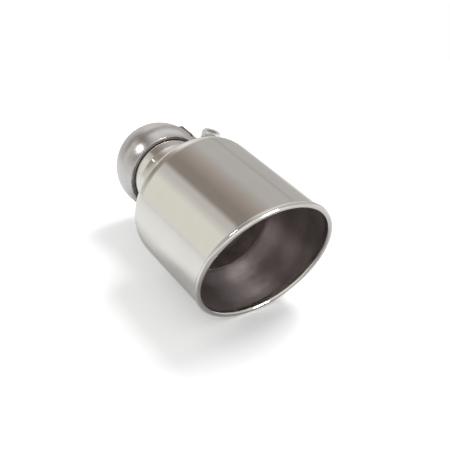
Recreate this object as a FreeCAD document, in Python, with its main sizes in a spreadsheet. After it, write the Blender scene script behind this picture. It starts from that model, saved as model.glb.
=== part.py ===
"""Round, slant-cut exhaust tip with a rolled lip and a ball clamp for the tail pipe.

Millimetres. The origin is the centre of the ball, +Y runs back along the tail pipe,
the outlet faces -Y, +Z is up. Turned pieces lie round the Y axis.
"""

import FreeCAD, Part
import math
import os

import Sketcher

os.makedirs("parts", exist_ok=True)
doc = FreeCAD.newDocument("exhaust_tip")
Vector = FreeCAD.Vector
Placement = FreeCAD.Placement
Rotation = FreeCAD.Rotation
X_AXIS = Vector(1, 0, 0)
Y_AXIS = Vector(0, 1, 0)
Z_AXIS = Vector(0, 0, 1)
# a sketch's x stays X and its y becomes Z
STANDING = Placement(Vector(0, 0, 0), Rotation(X_AXIS, 90))

# Driving dimensions, in millimetres and degrees
SIZES = {
    # clamp round the tail pipe
    "ball_rise": 5.2,
    "clamp_sheet": 1.2,
    "rim_reach": 13.1,
    "pipe_radius": 24.0,
    "mouth_fold": 1.5,
    "collar_reach": 4.0,
    "split_width": 4.0,
    "split_angle": 18.0,
    # lugs and fasteners of the clamp
    "lug_sheet": 2.0,
    "lug_offset": 19.8,
    "lug_width": 16.0,
    "lug_back": 5.0,
    "lug_corner": 5.0,
    "lug_bend": 1.5,
    "lug_edge": 9.5,
    "leg_angle": 58.0,
    "leg_seat": 0.6,
    "leg_overlap": 0.5,
    "washer_gap": 0.85,
    "bolt_radius": 4.0,
    "bolt_play": 0.5,
    "bolt_chamfer": 1.0,
    "thread_play": 0.05,
    "hex_flats": 13.0,
    "head_height": 5.3,
    "nut_height": 8.0,
    "nut_cover": 1.7,
    "hex_bevel": 1.1,
    "bevel_angle": 30.0,
    "washer_radius": 8.0,
    "washer_sheet": 1.6,
    # tube with the ball end
    "neck_radius": 28.5,
    "tube_sheet": 1.2,
    "ball_gap": 0.3,
    "ball_half": 9.5,
    "ball_taper": 2.6,
    "throat_radius": 37.2,
    "flare_gap": 8.9,
    "flare_length": 16.0,
    # collar between tube and body
    "sleeve_sheet": 1.0,
    "sleeve_start": 24.0,
    "sleeve_inside": 4.0,
    "sleeve_round": 0.7,
    "weld_leg": 2.6,
    # polished outer body
    "body_radius": 51.0,
    "body_sheet": 1.2,
    "body_rear": 53.1,
    "shoulder_radius": 9.9,
    "lip_reach": 149.6,
    "slant_angle": 18.0,
    "roll_radius": 2.7,
    "roll_proud": 0.8,
    "roll_open_back": 72.0,
    "roll_open_front": 63.0,
    # satin liner inside
    "liner_sheet": 1.0,
    "liner_step": 0.45,
    "funnel_inset": 7.4,
    "throat_depth": 44.2,
    "funnel_bend": 34.0,
    "throat_bend": 8.5,
    "throat_inset": 1.0,
    "liner_lap": 8.0,
}

sheet = doc.addObject("Spreadsheet::Sheet", "Sizes")
for row, (alias, value) in enumerate(SIZES.items(), start=1):
    sheet.set("A%d" % row, alias)
    sheet.set("B%d" % row, str(value))
    sheet.setAlias("B%d" % row, alias)
doc.recompute()


def size(alias):
    """Name one cell of the sheet in an expression."""
    return "Sizes." + alias


def root(first, second):
    """Expression for the other short side of a right triangle."""
    return "sqrt((%s) * (%s) - (%s) * (%s))" % (first, first, second, second)


def value_of(expression):
    """Number that an expression has now."""
    return float(sheet.evalExpression(expression))


def bind(item, **expressions):
    """Tie properties of an object to expressions; two underscores stand for a dot."""
    for name, expression in expressions.items():
        item.setExpression(name.replace("__", "."), expression)
    return item


def primitive(kind, name, **expressions):
    return bind(doc.addObject("Part::" + kind, name), **expressions)


def cut(name, base, tool):
    item = doc.addObject("Part::Cut", name)
    item.Base = base
    item.Tool = tool
    return item


def fuse(name, *shapes):
    item = doc.addObject("Part::MultiFuse", name)
    item.Shapes = list(shapes)
    item.Refine = True
    return item


def common(name, *shapes):
    item = doc.addObject("Part::MultiCommon", name)
    item.Shapes = list(shapes)
    return item


def arc_between(start, end, radius, side):
    """Arc from start to end, no more than half a turn; side is +1 when it turns left."""
    chord = end.sub(start)
    half = chord.Length / 2
    rise = math.sqrt(max(radius * radius - half * half, 0.0))
    left = Vector(-chord.y, chord.x, 0).normalize()
    centre = start.add(chord.multiply(0.5)).add(left.multiply(side * rise))
    angle_start = math.atan2(start.y - centre.y, start.x - centre.x)
    angle_end = math.atan2(end.y - centre.y, end.x - centre.x)
    circle = Part.Circle(centre, Z_AXIS, radius)
    if side > 0:
        return Part.ArcOfCircle(circle, angle_start, angle_end), (1, 2)
    return Part.ArcOfCircle(circle, angle_end, angle_start), (2, 1)


def outline(name, steps, placement=None):
    """Closed sketch; a step is (x, y) or (x, y, radius, side), the last two for an arc on from it."""
    sketch = doc.addObject("Sketcher::SketchObject", name)
    if placement is not None:
        sketch.Placement = placement
    points = [Vector(value_of(step[0]), value_of(step[1]), 0) for step in steps]
    ends = []
    for index, step in enumerate(steps):
        start = points[index]
        end = points[(index + 1) % len(points)]
        if len(step) == 4:
            edge, order = arc_between(start, end, value_of(step[2]), step[3])
        else:
            edge, order = Part.LineSegment(start, end), (1, 2)
        ends.append((sketch.addGeometry(edge, False), order))
    for index, (edge, order) in enumerate(ends):
        last_edge, last_order = ends[index - 1]
        sketch.addConstraint(Sketcher.Constraint("Coincident", last_edge, last_order[1], edge, order[0]))
    for index, (edge, order) in enumerate(ends):
        for kind, number in (("DistanceX", 0), ("DistanceY", 1)):
            fix_distance(sketch, kind, edge, order[0], points[index][number], steps[index][number])
        if len(steps[index]) == 4:
            radius = sketch.addConstraint(Sketcher.Constraint("Radius", edge, value_of(steps[index][2])))
            sketch.setExpression("Constraints[%d]" % radius, steps[index][2])
    return sketch


def fix_distance(sketch, kind, edge, end, value, expression):
    """Hold one end of an edge at its distance from the sketch's origin."""
    if value < 0:
        number = sketch.addConstraint(Sketcher.Constraint(kind, edge, end, -1, 1, -value))
        sketch.setExpression("Constraints[%d]" % number, "-(%s)" % expression)
    else:
        number = sketch.addConstraint(Sketcher.Constraint(kind, -1, 1, edge, end, value))
        sketch.setExpression("Constraints[%d]" % number, expression)


def turned(name, steps):
    """Solid of revolution about Y from an outline whose x is the radius and y the place."""
    item = doc.addObject("Part::Revolution", name)
    item.Source = outline(name + "_outline", steps)
    item.Axis = Y_AXIS
    item.Base = Vector(0, 0, 0)
    item.Angle = 360
    item.Solid = True
    return item


def extruded(name, source, direction, length):
    """Solid of an outline, half its length to each side of the sketch."""
    item = doc.addObject("Part::Extrusion", name)
    item.Base = source
    item.DirMode = "Custom"
    item.Dir = direction
    item.Solid = True
    item.Symmetric = True
    return bind(item, LengthFwd=length)


def node(item, name):
    """Give a finished sub-part the label that names its file."""
    item.Label = name
    return item


def set_in_clamp(item, out="0", back="0", up="0"):
    """Place in the clamp's frame, turned about Y: out from the axis, back, up from the split."""
    angle = size("split_angle")
    # the turn's axis is set here; its angle follows the sheet
    item.Placement = Placement(Vector(0, 0, 0), Rotation(Y_AXIS, 1))
    return bind(
        item,
        Placement__Base__x="(%s) * cos(%s) + (%s) * sin(%s)" % (out, angle, up, angle),
        Placement__Base__y=back,
        Placement__Base__z="(%s) * cos(%s) - (%s) * sin(%s)" % (up, angle, out, angle),
        Placement__Rotation__Angle=angle,
    )


# Shared places
# the ball stands out from the neck that comes out of it
BALL = "(%s + %s)" % (size("neck_radius"), size("ball_rise"))
SOCKET = "(%s - %s)" % (BALL, size("clamp_sheet"))
MOUTH_PATH = "(%s + %s)" % (size("pipe_radius"), size("mouth_fold"))
MOUTH_FOLD_BACK = root("%s - %s" % (BALL, size("mouth_fold")), MOUTH_PATH)
LUG_TOP = "(%s + %s / 2)" % (size("lug_offset"), size("lug_sheet"))
LUG_BOTTOM = "(%s - %s / 2)" % (size("lug_offset"), size("lug_sheet"))
SEAT = "(%s + %s)" % (LUG_TOP, size("washer_sheet"))
HOLE_RADIUS = "(%s + %s)" % (size("bolt_radius"), size("bolt_play"))
LEG_INNER = "(%s - %s)" % (BALL, size("leg_seat"))
LEG_OUTER = "(%s + %s)" % (LEG_INNER, size("lug_sheet"))
# the washer just clears the corner between leg and ear, and the ear ends past the bolt
LUG_CORNER_OUT = "((%s - %s * sin(%s)) / cos(%s))" % (LEG_OUTER, LUG_TOP, size("leg_angle"), size("leg_angle"))
BOLT_OUT = "(%s + %s + %s)" % (LUG_CORNER_OUT, size("washer_radius"), size("washer_gap"))
LUG_REACH = "(%s + %s)" % (BOLT_OUT, size("lug_edge"))
SLEEVE = "(%s + %s)" % (size("neck_radius"), size("sleeve_sheet"))
ROLL_PATH = "(%s + %s - %s)" % (size("body_radius"), size("roll_proud"), size("roll_radius"))
ROLL_HOLLOW = "(%s - %s)" % (size("roll_radius"), size("body_sheet"))
SLANT = "tan(%s)" % size("slant_angle")
LINER_MOUTH = "(%s - %s + %s)" % (ROLL_PATH, size("roll_radius"), size("liner_step"))
# the funnel starts behind the lip's short side; its ends are where its lines would meet unrounded
FUNNEL_MOUTH = "(%s * %s - %s + %s)" % (LINER_MOUTH, SLANT, size("lip_reach"), size("funnel_inset"))
FUNNEL_NECK = "-(%s + %s)" % (size("body_rear"), size("throat_depth"))
FUNNEL_ANGLE = "atan((%s - %s) / (%s - %s))" % (
    LINER_MOUTH, size("throat_radius"), FUNNEL_NECK, FUNNEL_MOUTH)
# Reaches of the blocks that cut right through the clamp and the body
PAST_CLAMP = "(4 * %s)" % BALL
PAST_BODY = "(2 * %s)" % size("body_radius")
FRONT = "(%s + %s + %s)" % (size("lip_reach"), PAST_BODY, size("body_radius"))


def ball_clamp():
    """Split spherical sheet whose mouth turns in to the collar that grips the tail pipe."""
    ball = BALL
    fold_out = "%s * (%s) / (%s - %s)" % (ball, MOUTH_PATH, ball, size("mouth_fold"))
    fold_back = "%s * (%s) / (%s - %s)" % (ball, MOUTH_FOLD_BACK, ball, size("mouth_fold"))
    inner_out = "%s * (%s) / (%s - %s)" % (SOCKET, MOUTH_PATH, ball, size("mouth_fold"))
    inner_back = "%s * (%s) / (%s - %s)" % (SOCKET, MOUTH_FOLD_BACK, ball, size("mouth_fold"))
    fold_hollow = "(%s - %s)" % (size("mouth_fold"), size("clamp_sheet"))
    collar_outer = "%s + %s" % (size("pipe_radius"), size("clamp_sheet"))
    front = "-%s" % size("rim_reach")
    collar_front = "-%s" % size("collar_reach")
    rounded = turned("ball_sheet", [
        (root(SOCKET, size("rim_reach")), front),
        (root(ball, size("rim_reach")), front, ball, 1),
        (fold_out, fold_back, size("mouth_fold"), 1),
        (size("pipe_radius"), MOUTH_FOLD_BACK),
        (size("pipe_radius"), collar_front),
        (collar_outer, collar_front),
        (collar_outer, MOUTH_FOLD_BACK, fold_hollow, -1),
        (inner_out, inner_back, SOCKET, -1),
    ])
    slot = primitive("Box", "split_slot", Length=ball, Width="2 * " + PAST_CLAMP, Height=size("split_width"))
    set_in_clamp(slot, size("pipe_radius") + " / 2", "-" + PAST_CLAMP, "-%s / 2" % size("split_width"))
    return node(cut("clamp_shell_cut", rounded, slot), "clamp_shell")


def lug(name, side):
    """Bent plate: a flat leg let a little into the ball, and an ear that takes the bolt."""
    back = size("lug_back")
    width = size("lug_width")
    corner = size("lug_corner")
    angle = size("leg_angle")
    bend = size("lug_bend")
    outer_bend = "(%s + %s)" % (bend, size("lug_sheet"))
    turn = "tan(45 - %s / 2)" % angle

    def on_leg(line, along):
        """Point on a line of the leg, so far from the ball's centre, and along it towards the ear."""
        return ("%s * cos(%s) + (%s) * sin(%s)" % (line, angle, along, angle),
                "%d * (%s * sin(%s) - (%s) * cos(%s))" % (side, line, angle, along, angle))

    def before_ear(line, level, radius):
        """Where a line of the leg ends and its bend to the ear begins."""
        return on_leg(line, "(%s * sin(%s) - %s) / cos(%s) - %s * %s" % (line, angle, level, angle, radius, turn))

    def on_ear(line, level, radius):
        """Where the bend ends and a line of the ear begins."""
        return ("(%s - %s * sin(%s)) / cos(%s) + %s * %s" % (line, level, angle, angle, radius, turn),
                "%d * %s" % (side, level))

    bent = extruded(name + "_bent", outline(name + "_profile", [
        on_leg(LEG_INNER, "-" + size("leg_overlap")),
        on_leg(LEG_OUTER, "-" + size("leg_overlap")),
        before_ear(LEG_OUTER, LUG_TOP, bend) + (bend, side),
        on_ear(LEG_OUTER, LUG_TOP, bend),
        (LUG_REACH, "%d * %s" % (side, LUG_TOP)),
        (LUG_REACH, "%d * %s" % (side, LUG_BOTTOM)),
        on_ear(LEG_INNER, LUG_BOTTOM, outer_bend) + (outer_bend, -side),
        before_ear(LEG_INNER, LUG_BOTTOM, outer_bend),
    ], STANDING), Y_AXIS, width)
    bind(bent, Placement__Base__y=back)
    near = "%s - %s / 2" % (back, width)
    far = "%s + %s / 2" % (back, width)
    # seen from above, the plate is square on the ball and round at the bolt
    plan = extruded(name + "_plan", outline(name + "_plan_outline", [
        ("0", near),
        ("%s - %s" % (LUG_REACH, corner), near, corner, 1),
        (LUG_REACH, "%s + %s" % (near, corner)),
        (LUG_REACH, "%s - %s" % (far, corner), corner, 1),
        ("%s - %s" % (LUG_REACH, corner), far),
        ("0", far),
    ]), Z_AXIS, PAST_CLAMP)
    hole = primitive("Cylinder", name + "_hole", Radius=HOLE_RADIUS, Height=PAST_CLAMP)
    bind(hole, Placement__Base__x=BOLT_OUT, Placement__Base__y=back, Placement__Base__z="-%s / 2" % PAST_CLAMP)
    bored = cut(name + "_bored", common(name + "_blank", bent, plan), hole)
    core = primitive("Sphere", name + "_core", Radius=BALL)
    return node(set_in_clamp(cut(name + "_cut", bored, core)), name)


def hexagon(name, height, bevel_top):
    """Hexagonal prism on Z from 0 up, the corners of its lower end, or of both, turned off."""
    corner = "(%s / sqrt(3))" % size("hex_flats")
    bevel = size("hex_bevel")
    narrow = "(%s - %s)" % (corner, bevel)
    # the cone runs on past the corners by as much as it takes off them
    wide = "(%s + %s)" % (corner, bevel)
    rise = "(2 * %s * tan(%s))" % (bevel, size("bevel_angle"))
    top = [(wide, "%s - %s" % (height, rise)), (narrow, height)] if bevel_top else [(wide, height)]
    prism = primitive("Prism", name + "_prism", Circumradius=corner, Height=height)
    prism.Polygon = 6
    limit = doc.addObject("Part::Revolution", name + "_limit")
    limit.Source = outline(
        name + "_limit_outline", [("0", "0"), (narrow, "0"), (wide, rise)] + top + [("0", height)], STANDING)
    limit.Axis = Z_AXIS
    limit.Angle = 360
    limit.Solid = True
    return common(name + "_hex", prism, limit)


def clamp_bolt():
    """Hexagon bolt from below, its end a little under the nut's top face."""
    tip = "(%s + %s - %s)" % (SEAT, size("nut_height"), size("nut_cover"))
    radius = size("bolt_radius")
    chamfer = size("bolt_chamfer")
    plain = "(%s + %s - %s)" % (tip, SEAT, chamfer)
    shank = primitive("Cylinder", "bolt_shank", Radius=radius, Height=plain)
    end = primitive("Cone", "bolt_end", Radius1=radius, Radius2="%s - %s" % (radius, chamfer), Height=chamfer)
    bind(end, Placement__Base__z=plain)
    head = hexagon("bolt_head", size("head_height"), False)
    bind(head, Placement__Base__z="-" + size("head_height"))
    item = fuse("clamp_bolt_fused", shank, end, head)
    return node(set_in_clamp(item, BOLT_OUT, size("lug_back"), "-" + SEAT), "clamp_bolt")


def clamp_nut():
    """Hexagon nut on the upper washer, its thread as a plain bore."""
    height = size("nut_height")
    body = hexagon("nut_body", height, True)
    bore_radius = "%s + %s" % (size("bolt_radius"), size("thread_play"))
    bore = primitive("Cylinder", "nut_bore", Radius=bore_radius, Height="2 * " + height)
    bind(bore, Placement__Base__z="-%s / 2" % height)
    item = cut("clamp_nut_cut", body, bore)
    return node(set_in_clamp(item, BOLT_OUT, size("lug_back"), SEAT), "clamp_nut")


def washer(name, low):
    """Plain washer under the nut or the bolt's head."""
    thick = size("washer_sheet")
    disc = primitive("Cylinder", name + "_disc", Radius=size("washer_radius"), Height=thick)
    hole = primitive("Cylinder", name + "_hole", Radius=HOLE_RADIUS, Height="2 * " + thick)
    bind(hole, Placement__Base__z="-%s / 2" % thick)
    item = cut(name + "_cut", disc, hole)
    return node(set_in_clamp(item, BOLT_OUT, size("lug_back"), low), name)


def neck_tube():
    """One formed tube: ball end in the clamp, neck, then a flare to the throat inside the body."""
    ball = "(%s - %s)" % (SOCKET, size("ball_gap"))
    ball_inner = "(%s - %s)" % (ball, size("tube_sheet"))
    half = size("ball_half")
    neck = size("neck_radius")
    bore = "(%s - %s)" % (neck, size("tube_sheet"))
    taper = "-(%s + %s)" % (half, size("ball_taper"))
    throat_bore = "(%s - %s)" % (size("throat_radius"), size("tube_sheet"))
    throat_end = "(%s + %s)" % (FUNNEL_NECK, size("throat_inset"))
    # the tube stays straight until it is clear of the sleeve
    flare_start = "-(%s + %s + %s)" % (size("body_rear"), size("sleeve_inside"), size("flare_gap"))
    flare_end = "(%s - %s)" % (flare_start, size("flare_length"))
    return node(turned("neck_tube_turned", [
        (root(ball_inner, half), half),
        (root(ball_inner, half), "-" + half),
        (bore, taper),
        (bore, flare_start),
        (throat_bore, flare_end),
        (throat_bore, throat_end),
        (size("throat_radius"), throat_end),
        (size("throat_radius"), flare_end),
        (neck, flare_start),
        (neck, taper),
        (root(ball, half), "-" + half, ball, 1),
        (root(ball, half), half),
    ]), "neck_tube")


def neck_sleeve():
    """Collar on the tube, welded to the body's rear wall."""
    neck = size("neck_radius")
    start = "-" + size("sleeve_start")
    end = "-(%s + %s)" % (size("body_rear"), size("sleeve_inside"))
    rounding = size("sleeve_round")
    rear = "-" + size("body_rear")
    weld = size("weld_leg")
    return node(turned("neck_sleeve_turned", [
        (neck, start),
        (neck, end),
        (SLEEVE, end),
        (SLEEVE, rear),
        ("%s + %s" % (SLEEVE, weld), rear, weld, -1),
        (SLEEVE, "%s + %s" % (rear, weld)),
        (SLEEVE, "%s - %s" % (start, rounding), rounding, 1),
        ("%s - %s" % (SLEEVE, rounding), start),
    ]), "neck_sleeve")


def ahead_of_lip(name):
    """Block in front of the slanted plane of the lip."""
    reach = size("lip_reach")
    # the sketch lies in the YZ plane: its x is Y and its y is Z
    plane = Placement(Vector(0, 0, 0), Rotation(Vector(1, 1, 1), 120))
    shape = outline(name + "_outline", [
        ("-(%s + %s * %s)" % (reach, PAST_BODY, SLANT), PAST_BODY),
        ("-" + FRONT, PAST_BODY),
        ("-" + FRONT, "-" + PAST_BODY),
        ("-(%s - %s * %s)" % (reach, PAST_BODY, SLANT), "-" + PAST_BODY),
    ], plane)
    return extruded(name, shape, X_AXIS, "2 * " + PAST_BODY)


def lip_sweep(name, steps):
    """Sweep a section given round the roll's centre along the slanted rim."""
    path = primitive("Ellipse", name + "_path", MinorRadius=ROLL_PATH,
                     MajorRadius="%s / cos(%s)" % (ROLL_PATH, size("slant_angle")))
    # the ellipse is drawn in XY with its long axis along X, and is turned to stand in the lip's plane
    place = "placement(vector(0; -%s; 0); rotationx(%s) * rotation(vector(1; 1; 1); 240))"
    bind(path, Placement=place % (size("lip_reach"), size("slant_angle")))
    section = outline(name + "_section", steps, Placement(Vector(0, 0, 0), Rotation(X_AXIS, 1)))
    bind(section, Placement__Base__y="-" + size("lip_reach"),
         Placement__Rotation__Angle=size("slant_angle"))
    item = doc.addObject("Part::Sweep", name)
    item.Sections = [section]
    item.Spine = (path, ["Edge1"])
    item.Solid = True
    item.Frenet = False
    return item


def on_roll(radius, angle):
    """Point of the roll's section; the angle runs from outward (0) through the front (90) to inward (180)."""
    return ("%s + %s * cos(%s)" % (ROLL_PATH, radius, angle), "-(%s * sin(%s))" % (radius, angle))


def round_section(radius):
    """Full circle of the roll's section, as three arcs."""
    return [on_roll(radius, angle) + (radius, -1) for angle in ("0", "120", "240")]


def outer_body():
    """Drawn sheet: rear wall, round shoulder, straight side and a lip rolled inward."""
    radius = size("body_radius")
    sheet_wall = size("body_sheet")
    shoulder = size("shoulder_radius")
    rear = "-" + size("body_rear")
    inside = "(%s - %s)" % (radius, sheet_wall)
    inner_rear = "(%s - %s)" % (rear, sheet_wall)
    cup = turned("body_cup", [
        (SLEEVE, rear),
        (SLEEVE, inner_rear),
        ("%s - %s" % (radius, shoulder), inner_rear, "(%s - %s)" % (shoulder, sheet_wall), -1),
        (inside, "%s - %s" % (rear, shoulder)),
        (inside, "-" + FRONT),
        (radius, "-" + FRONT),
        (radius, "%s - %s" % (rear, shoulder), shoulder, 1),
        ("%s - %s" % (radius, shoulder), rear),
    ])
    trimmed = cut("body_trimmed", cup, ahead_of_lip("body_front"))
    roll = size("roll_radius")
    back_edge = "-" + size("roll_open_back")
    front_edge = "(180 + %s)" % size("roll_open_front")
    rolled = lip_sweep("lip_roll", [
        on_roll(roll, back_edge) + (roll, -1),
        on_roll(roll, "90") + (roll, -1),
        on_roll(roll, front_edge),
        on_roll(ROLL_HOLLOW, front_edge) + (ROLL_HOLLOW, 1),
        on_roll(ROLL_HOLLOW, "90") + (ROLL_HOLLOW, 1),
        on_roll(ROLL_HOLLOW, back_edge),
    ])
    # the straight sheet ends half way into the rolled one
    seat = lip_sweep("lip_seat", round_section("(%s - %s / 2)" % (roll, sheet_wall)))
    open_edge = cut("body_open_edge", trimmed, seat)
    return node(fuse("outer_body_fused", open_edge, rolled), "outer_body")


def inner_liner():
    """Funnel from the rolled lip to the throat of the tube."""
    wall = size("liner_sheet")
    wide = LINER_MOUTH
    wide_outer = "(%s + %s)" % (wide, wall)
    narrow = size("throat_radius")
    narrow_outer = "(%s + %s)" % (narrow, wall)
    angle = FUNNEL_ANGLE
    bend = size("funnel_bend")
    outer_bend = "(%s + %s)" % (bend, wall)
    turn = "tan(%s / 2)" % angle
    mouth = FUNNEL_MOUTH
    neck = FUNNEL_NECK
    tail = "(%s + %s)" % (neck, size("liner_lap"))
    small = size("throat_bend")
    small_inner = "(%s - %s)" % (small, wall)

    def past(line, place, reach, towards):
        return ("%s - %s * sin(%s) * %s" % (line, reach, angle, towards),
                "%s + %s * cos(%s) * %s" % (place, reach, angle, towards))

    wide_reach = "(%s * %s)" % (outer_bend, turn)
    narrow_reach = "(%s * %s)" % (small, turn)
    # the outer lines lie one sheet away from the inner ones, so their corners move along Y
    shift = "(%s * %s)" % (wall, turn)
    outer_mouth = "(%s + %s)" % (mouth, shift)
    outer_neck = "(%s + %s)" % (neck, shift)
    inner_wide_reach = "(%s * %s)" % (bend, turn)
    outer_narrow_reach = "(%s * %s)" % (small_inner, turn)
    blank = turned("liner_blank", [
        (wide, "-" + FRONT),
        (wide_outer, "-" + FRONT),
        (wide_outer, "%s - %s" % (outer_mouth, wide_reach), outer_bend, 1),
        past(wide_outer, outer_mouth, wide_reach, "1"),
        past(narrow_outer, outer_neck, outer_narrow_reach, "-1") + (small_inner, -1),
        (narrow_outer, "%s + %s" % (outer_neck, outer_narrow_reach)),
        (narrow_outer, tail),
        (narrow, tail),
        (narrow, "%s + %s" % (neck, narrow_reach), small, 1),
        past(narrow, neck, narrow_reach, "-1"),
        past(wide, mouth, inner_wide_reach, "1") + (bend, -1),
        (wide, "%s - %s" % (mouth, inner_wide_reach)),
    ])
    trimmed = cut("liner_trimmed", blank, ahead_of_lip("liner_front"))
    bead = lip_sweep("lip_bead", round_section(size("roll_radius")))
    return node(cut("inner_liner_cut", trimmed, bead), "inner_liner")


nodes = [
    ball_clamp(),
    lug("upper_lug", 1),
    lug("lower_lug", -1),
    clamp_bolt(),
    clamp_nut(),
    washer("upper_washer", LUG_TOP),
    washer("lower_washer", "-" + SEAT),
    neck_tube(),
    neck_sleeve(),
    outer_body(),
    inner_liner(),
]
doc.recompute()

for item in doc.Objects:
    faults = [state for state in item.State if state in ("Invalid", "Error")]
    if faults:
        raise RuntimeError("%s is %s" % (item.Name, faults))
for item in nodes:
    shape = item.Shape
    if shape.isNull() or not shape.isValid() or len(shape.Solids) != 1:
        raise RuntimeError("%s has no single valid solid" % item.Label)
for item in nodes:
    item.Shape.exportStep("parts/%s.step" % item.Label)
    print("%-14s %10.1f mm3" % (item.Label, item.Shape.Volume))
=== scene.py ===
"""Looks of the slant-cut exhaust tip: polished body, satin ball clamp, dull liner, plated fasteners.

Outlines are in millimetres and meshes in metres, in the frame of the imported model: the origin is
the ball's centre, +Y runs back along the tail pipe, the outlet faces -Y and +Z is up. The outline
of a turned piece is a list of (out from the axis, back along it), and its corners also have the
radius of their rounding.
"""

import math

import bmesh
import bpy
from mathutils import Matrix, Quaternion, Vector


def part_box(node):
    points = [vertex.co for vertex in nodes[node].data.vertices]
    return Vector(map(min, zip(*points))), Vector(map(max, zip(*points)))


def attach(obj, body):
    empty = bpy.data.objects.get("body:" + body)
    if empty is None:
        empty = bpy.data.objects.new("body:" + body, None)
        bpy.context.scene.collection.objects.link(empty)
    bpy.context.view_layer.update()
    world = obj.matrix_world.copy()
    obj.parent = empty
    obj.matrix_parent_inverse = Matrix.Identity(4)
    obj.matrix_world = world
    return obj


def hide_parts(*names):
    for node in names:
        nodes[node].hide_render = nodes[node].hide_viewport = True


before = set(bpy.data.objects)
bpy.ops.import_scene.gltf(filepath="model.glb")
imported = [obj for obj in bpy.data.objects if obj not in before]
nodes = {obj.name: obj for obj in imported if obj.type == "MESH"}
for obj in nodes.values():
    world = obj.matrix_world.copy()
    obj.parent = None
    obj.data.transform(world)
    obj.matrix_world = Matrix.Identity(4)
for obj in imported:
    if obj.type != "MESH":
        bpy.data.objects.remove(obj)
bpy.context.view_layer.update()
MM = 0.001
SAME_POINT = 0.0005
SAME_CAD_POINT = 0.001

# The photograph's view: where the camera looks, from where, and how far its horizon leans
AIM = Vector((0.0312, -0.0471, -0.0380))
VIEW_AZIMUTH = math.radians(-31.09)
VIEW_ELEVATION = math.radians(32.31)
VIEW_ROLL = math.radians(0.82)
VIEW_DISTANCE = 0.6988
LENS_MM = 72.0
SENSOR_MM = 36.0
NEAREST_SEEN = 0.01

# The table that the tip lies on
FLOOR_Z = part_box("outer_body")[0].z
FLOOR_CENTRE = (-0.15, 0.05)
FLOOR_RADIUS = 0.60

# Clamp, in millimetres; the outer sizes here and below are read from the frame
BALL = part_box("clamp_shell")[1].z / MM
RIM_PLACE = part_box("clamp_shell")[0].y / MM
CLAMP_SHEET = 1.2
RIM_ROUND = 0.55
PIPE = 24.0
MOUTH_FOLD = 1.5
COLLAR_FRONT = -4.0
COLLAR_ROUND = 0.2
SPLIT_WIDTH = 4.0
SPLIT_ANGLE = math.radians(18.0)
LUG_TOP = 20.8
LUG_BACK = 5.0
LUG_HALF = 8.0
LUG_SHEET = 2.0
LUG_ROUND = 0.25
LEG_ANGLE = math.radians(58.0)
LEG_INNER = BALL - 0.6
LEG_END = -0.5
LUG_WELD_START = 6.5
LUG_WELD_WIDTH = 1.7
LUG_WELD_BULGE = 0.28

# Bolt, nut and washers
BOLT_OUT = 41.8
BOLT_RADIUS = 4.0
BOLT_CHAMFER = 1.0
THREAD_PITCH = 1.25
THREAD_DEPTH = 0.65
THREAD_PLAY = 0.05
WASHER_RADIUS = 8.0
WASHER_SHEET = 1.6
WASHER_HOLE = 4.5
HEX_FLATS = 13.0
HEX_BEVEL = 1.1
HEX_SLOPE = math.tan(math.radians(30.0))
HEX_BLUNT = 0.06
HEX_SOFT = 0.12
COUNTERSINK = 0.45
HEAD_HEIGHT = 5.3
NUT_HEIGHT = 8.0
NUT_COVER = 1.7

# Neck tube with its ball end, flare and throat, and the sleeve with its weld
BALL_PLAY = 0.3
BALL_END_HALF = 9.5
NECK = 28.5
NECK_FOOT = -13.15
NECK_SHOULDER = (29.3, -12.5)
TUBE_SHEET = 1.2
FLARE_START = -66.0
FLARE_END = -82.0
FLARE_BEND = 6.0
THROAT = 37.2
THROAT_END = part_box("neck_tube")[0].y / MM
THROAT_FEATHER = 7.0
THROAT_THIN_END = 0.2
SLEEVE = 29.5
SLEEVE_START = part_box("neck_sleeve")[1].y / MM
SLEEVE_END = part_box("neck_sleeve")[0].y / MM
SLEEVE_ROUND = 0.95
WELD_LEG = 2.6
WELD_CRESCENTS = 150
WELD_HEIGHT = 0.25
WELD_SWELL = 0.16

# Body with its shoulder, groove and rolled lip
BODY = 51.0
BODY_SHEET = 1.2
BODY_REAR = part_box("outer_body")[1].y / MM
SHOULDER = 9.7
LEAD_IN = 6.5
LEAD_DEGREES = 3.2
GROOVE = 0.55
ROLL = 2.0
ROLL_RETURN = 3.0
ROLL_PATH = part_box("outer_body")[1].x / MM - ROLL
LIP_PLACE = -150.2
SLANT = math.radians(18.0)

# Liner: a throat, then a funnel that is steeper up to its waist
LINER_SHEET = 1.0
LINER_MOUTH = 48.25
LINER_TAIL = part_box("inner_liner")[1].y / MM
BEHIND_ROLL = 0.1
FUNNEL_MOUTH = -126.98
FUNNEL_WAIST = (43.0, -108.0)
FUNNEL_NECK = -97.3
FUNNEL_BEND = 34.0
WAIST_BEND = 36.0
THROAT_BEND = 8.5

# Steps of the meshes round the axis
BALL_STEPS = 288
BODY_STEPS = 384
TUBE_STEPS = 256
HEX_STEPS = 144
WASHER_STEPS = 96
THREAD_STEPS = 48

# Tints of the metals as linear red, green and blue; of two, the darker one comes first
POLISHED_TINTS = ((0.762, 0.754, 0.722), (0.788, 0.782, 0.752))
SATIN_TINTS = ((0.58, 0.57, 0.567), (0.625, 0.616, 0.611))
SATIN_RINGS = (0.54, 0.525, 0.52)
LINER_TINTS = ((0.27, 0.232, 0.232), (0.345, 0.302, 0.302))
LINER_RINGS = (0.19, 0.162, 0.16)
BARE_TINTS = ((0.29, 0.25, 0.235), (0.42, 0.37, 0.355))
# oil on the threads, and also the painted shade in the body's groove and at the neck's foot
OILY_AND_SHADE_TINTS = ((0.27, 0.225, 0.21), (0.38, 0.33, 0.31))
ZINC_TINTS = ((0.66, 0.66, 0.66), (0.78, 0.785, 0.79))
TORN_TINTS = ((0.13, 0.10, 0.09), (0.66, 0.625, 0.575))
SHADED_EDGE = (0.055, 0.045, 0.045)

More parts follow.
